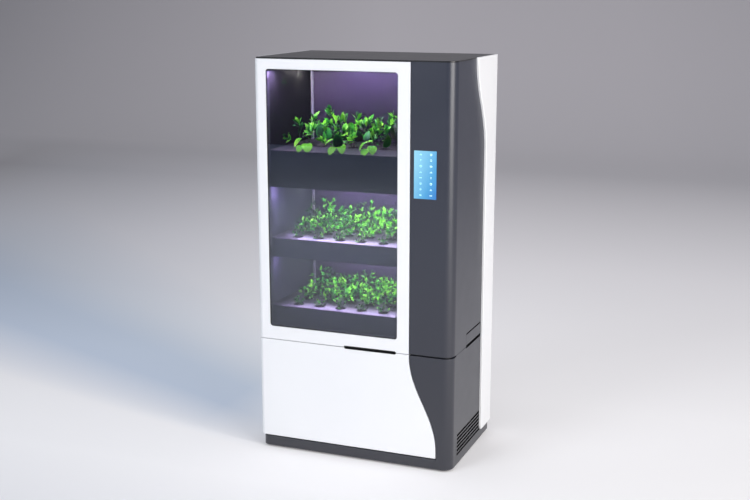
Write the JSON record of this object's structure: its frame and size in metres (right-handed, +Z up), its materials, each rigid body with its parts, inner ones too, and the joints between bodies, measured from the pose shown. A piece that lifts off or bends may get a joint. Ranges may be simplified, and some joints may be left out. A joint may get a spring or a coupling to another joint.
{
  "type": "hydroponic growing cabinet",
  "caption": "Upright hydroponic cabinet with a glazed door, stacked planting levels under lights, a service compartment and a dark control column with a display.",
  "frame": {"origin": "centre of the footprint, on the floor", "axes": "+Z up the cabinet's height, +Y from the doors to the back, +X from the hinged side to the control column"},
  "size_m": [0.836, 0.514, 1.6],
  "materials": {
    "white_panel": "satin white enamel",
    "charcoal_panel": "fine satin",
    "chamber_lining": "satin",
    "glass": "polished",
    "black_trim": "satin black",
    "seal_rubber": "soft",
    "display": "lit",
    "circuit_board": "solder mask",
    "zinc_steel": "zinc plated",
    "trough_plastic": "satin",
    "deck_plastic": "satin white",
    "net_pot": "satin",
    "leaf": "leaf",
    "light_housing": "anodised",
    "light_lens": "lit",
    "water_plastic": "milky",
    "pipe_plastic": "smooth",
    "bottle_plastic": "milky"
  },
  "bodies": {
    "cabinet": {"plinth": "charcoal_panel", "levelling_feet": "black_trim", "base_plate": "zinc_steel", "left_wall": "chamber_lining", "left_side_panel": "white_panel", "partition_wall": "chamber_lining", "back_wall": "chamber_lining", "chamber_floor": "chamber_lining", "chamber_roof": "chamber_lining", "top_panel": "charcoal_panel", "upper_casing": "charcoal_panel", "lower_casing": "charcoal_panel", "seam_strip": "black_trim", "side_accent": "white_panel", "display_glass": "display", "display_housing": "black_trim", "control_board": "circuit_board", "power_supply": "zinc_steel", "rear_cover": "charcoal_panel", "power_inlet": "black_trim", "hinge_brackets": "zinc_steel", "hinge_pins": "zinc_steel", "filling_funnel": "water_plastic", "fill_pipe": "pipe_plastic", "tray_fascias": "chamber_lining", "tray_shelves": "chamber_lining", "light_housings": "light_housing", "light_lenses": "light_lens", "upper_trough": "trough_plastic", "middle_trough": "trough_plastic", "lower_trough": "trough_plastic", "riser_pipe": "pipe_plastic", "supply_pipe": "pipe_plastic", "suction_pipe": "pipe_plastic", "water_tank": "water_plastic", "pump_housing": "black_trim", "nutrient_bottles": "bottle_plastic", "bottle_caps": "black_trim", "fan_frame": "black_trim"},
    "upper_door": {"door_frame": "white_panel", "door_glass": "glass", "door_inner_frame": "chamber_lining", "door_seal": "seal_rubber", "upper_grip": "black_trim"},
    "lower_door": {"lower_door_skin": "white_panel", "lower_door_pan": "chamber_lining", "lower_grip": "black_trim"},
    "hatch": {"filling_hatch": "charcoal_panel"},
    "upper_planter": {"upper_deck": "deck_plastic", "upper_pots": "net_pot", "upper_plants": "leaf"},
    "middle_planter": {"middle_deck": "deck_plastic", "middle_pots": "net_pot", "middle_plants": "leaf"},
    "lower_planter": {"lower_deck": "deck_plastic", "lower_pots": "net_pot", "lower_plants": "leaf"},
    "lid": {"tank_lid": "water_plastic"},
    "fan": {"fan_rotor": "black_trim"},
    "impeller": {"pump_impeller": "black_trim"}
  },
  "joints": [
    {"name": "upper_door_hinge", "type": "hinge", "parent": "cabinet", "child": "upper_door", "pos_m": [-0.409, -0.237, 1.03], "axis": [0, 0, -1], "range_deg": [0, 105]},
    {"name": "lower_door_hinge", "type": "hinge", "parent": "cabinet", "child": "lower_door", "pos_m": [-0.409, -0.237, 0.26], "axis": [0, 0, -1], "range_deg": [0, 105]},
    {"name": "hatch_hinge", "type": "hinge", "parent": "cabinet", "child": "hatch", "pos_m": [0.404, 0.022, 0.5158], "axis": [0, -1, 0], "range_deg": [0, 80]},
    {"name": "upper_planter_lift", "type": "slide", "parent": "cabinet", "child": "upper_planter", "axis": [0, 0, 1], "range_m": [0, 0.04]},
    {"name": "middle_planter_lift", "type": "slide", "parent": "cabinet", "child": "middle_planter", "axis": [0, 0, 1], "range_m": [0, 0.04]},
    {"name": "lower_planter_lift", "type": "slide", "parent": "cabinet", "child": "lower_planter", "axis": [0, 0, 1], "range_m": [0, 0.04]},
    {"name": "tank_lid_lift", "type": "slide", "parent": "cabinet", "child": "lid", "axis": [0, 0, 1], "range_m": [0, 0.03]},
    {"name": "fan_spin", "type": "hinge", "parent": "cabinet", "child": "fan", "pos_m": [0.3925, -0.018, 0.093], "axis": [1, 0, 0], "continuous": true},
    {"name": "impeller_spin", "type": "hinge", "parent": "cabinet", "child": "impeller", "pos_m": [0.102, 0.143, 0.09], "axis": [0, 0, 1], "continuous": true}
  ]
}
